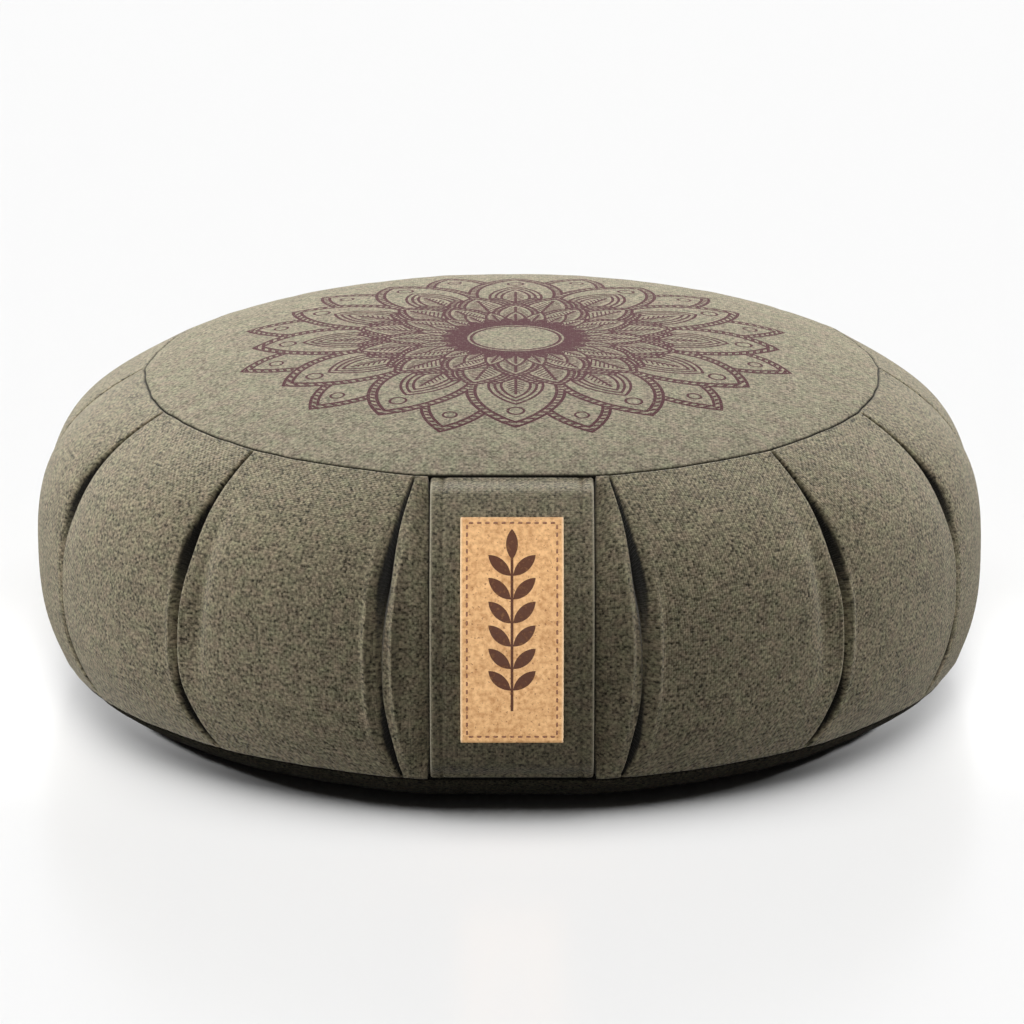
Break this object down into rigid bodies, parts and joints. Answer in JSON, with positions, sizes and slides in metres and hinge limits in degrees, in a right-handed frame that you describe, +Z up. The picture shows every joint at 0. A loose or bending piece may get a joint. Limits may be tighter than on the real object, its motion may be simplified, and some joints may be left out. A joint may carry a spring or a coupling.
{
  "type": "round meditation cushion",
  "caption": "Round filled meditation cushion: pleated side band, domed top panel, round underside panel, flat carrying strap and cork label.",
  "frame": {"origin": "centre of the flat face on the underside that the cushion rests on", "axes": "+Z up, -Y towards the carrying strap, +X to the right when the strap faces the viewer"},
  "size_m": [0.3606, 0.3608, 0.132],
  "materials": {
    "side_cloth": "heathered olive-grey linen weave, matt",
    "top_cloth": "heathered olive-grey linen weave with a maroon printed rosette, matt",
    "underside_cloth": "heathered olive-grey linen weave, matt",
    "strap_cloth": "heathered olive-grey linen weave, double and topstitched, matt",
    "cork": "tan cork cloth with fine brown specks and dark stitching, satin"
  },
  "bodies": {
    "root": {"pleated_body": "side_cloth", "top_panel": "top_cloth", "bottom_panel": "underside_cloth", "handle_strap": "strap_cloth", "cork_label": "cork"}
  },
  "joints": []
}
